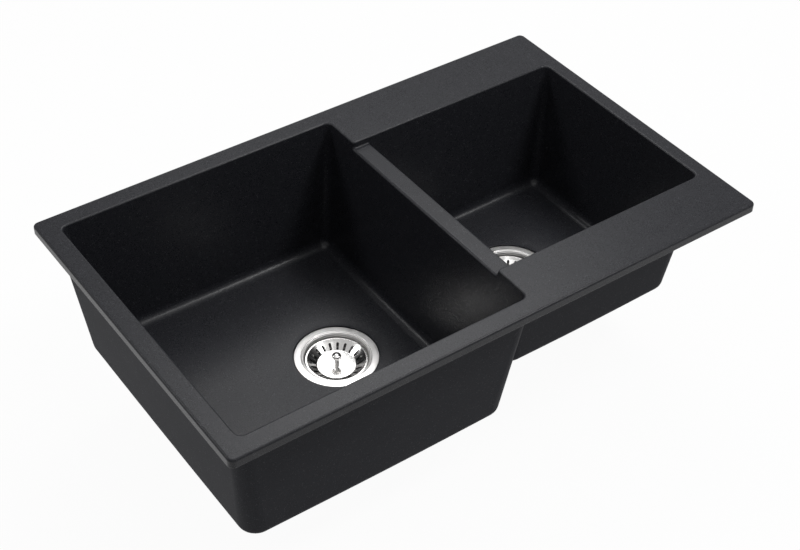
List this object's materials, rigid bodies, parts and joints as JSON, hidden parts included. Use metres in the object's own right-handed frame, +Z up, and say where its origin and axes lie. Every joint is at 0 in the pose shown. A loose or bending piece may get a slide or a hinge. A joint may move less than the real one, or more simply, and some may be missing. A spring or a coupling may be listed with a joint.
{
  "type": "double bowl kitchen sink",
  "caption": "Inset kitchen sink moulded in black composite, with a wide bowl and a narrower bowl, a lowered divider, and basket strainer wastes that lift out.",
  "frame": {"origin": "centre of the rim in plan, on the flat seat under the rim that lies on the worktop", "axes": "+X along the length from the wide bowl to the narrower bowl, +Y to the back, +Z up"},
  "size_m": [0.78, 0.48, 0.291],
  "materials": {
    "composite": "satin black granite composite with a fine even grain and a few pale specks",
    "polished_steel": "polished stainless steel",
    "steel_fixings": "plain stainless steel",
    "rubber": "matt black moulded rubber",
    "body_plastic": "matt white moulded polypropylene",
    "brass": "plain turned brass"
  },
  "bodies": {
    "sink": {"sink_basin": "composite", "waste_flange_large": "polished_steel", "flange_seal_large": "rubber", "body_washer_large": "rubber", "waste_body_large": "body_plastic", "fixing_screw_large": "steel_fixings", "insert_nut_large": "brass", "waste_flange_small": "polished_steel", "flange_seal_small": "rubber", "body_washer_small": "rubber", "waste_body_small": "body_plastic", "fixing_screw_small": "steel_fixings", "insert_nut_small": "brass"},
    "plug_large": {"basket_stem_large": "polished_steel", "basket_knob_large": "polished_steel", "basket_plug_large": "rubber", "plug_washer_large": "steel_fixings", "plug_nut_large": "steel_fixings"},
    "basket_large": {"basket_large": "polished_steel"},
    "plug_small": {"basket_stem_small": "polished_steel", "basket_knob_small": "polished_steel", "basket_plug_small": "rubber", "plug_washer_small": "steel_fixings", "plug_nut_small": "steel_fixings"},
    "basket_small": {"basket_small": "polished_steel"}
  },
  "joints": [
    {"name": "basket_lift_large", "type": "slide", "parent": "sink", "child": "plug_large", "axis": [0, 0, 1], "range_m": [0, 0.25]},
    {"name": "basket_turn_large", "type": "hinge", "parent": "plug_large", "child": "basket_large", "pos_m": [-0.097, 0, -0.1999], "axis": [0, 0, 1], "continuous": true},
    {"name": "basket_lift_small", "type": "slide", "parent": "sink", "child": "plug_small", "axis": [0, 0, 1], "range_m": [0, 0.25]},
    {"name": "basket_turn_small", "type": "hinge", "parent": "plug_small", "child": "basket_small", "pos_m": [0.1935, 0, -0.1959], "axis": [0, 0, 1], "continuous": true}
  ]
}
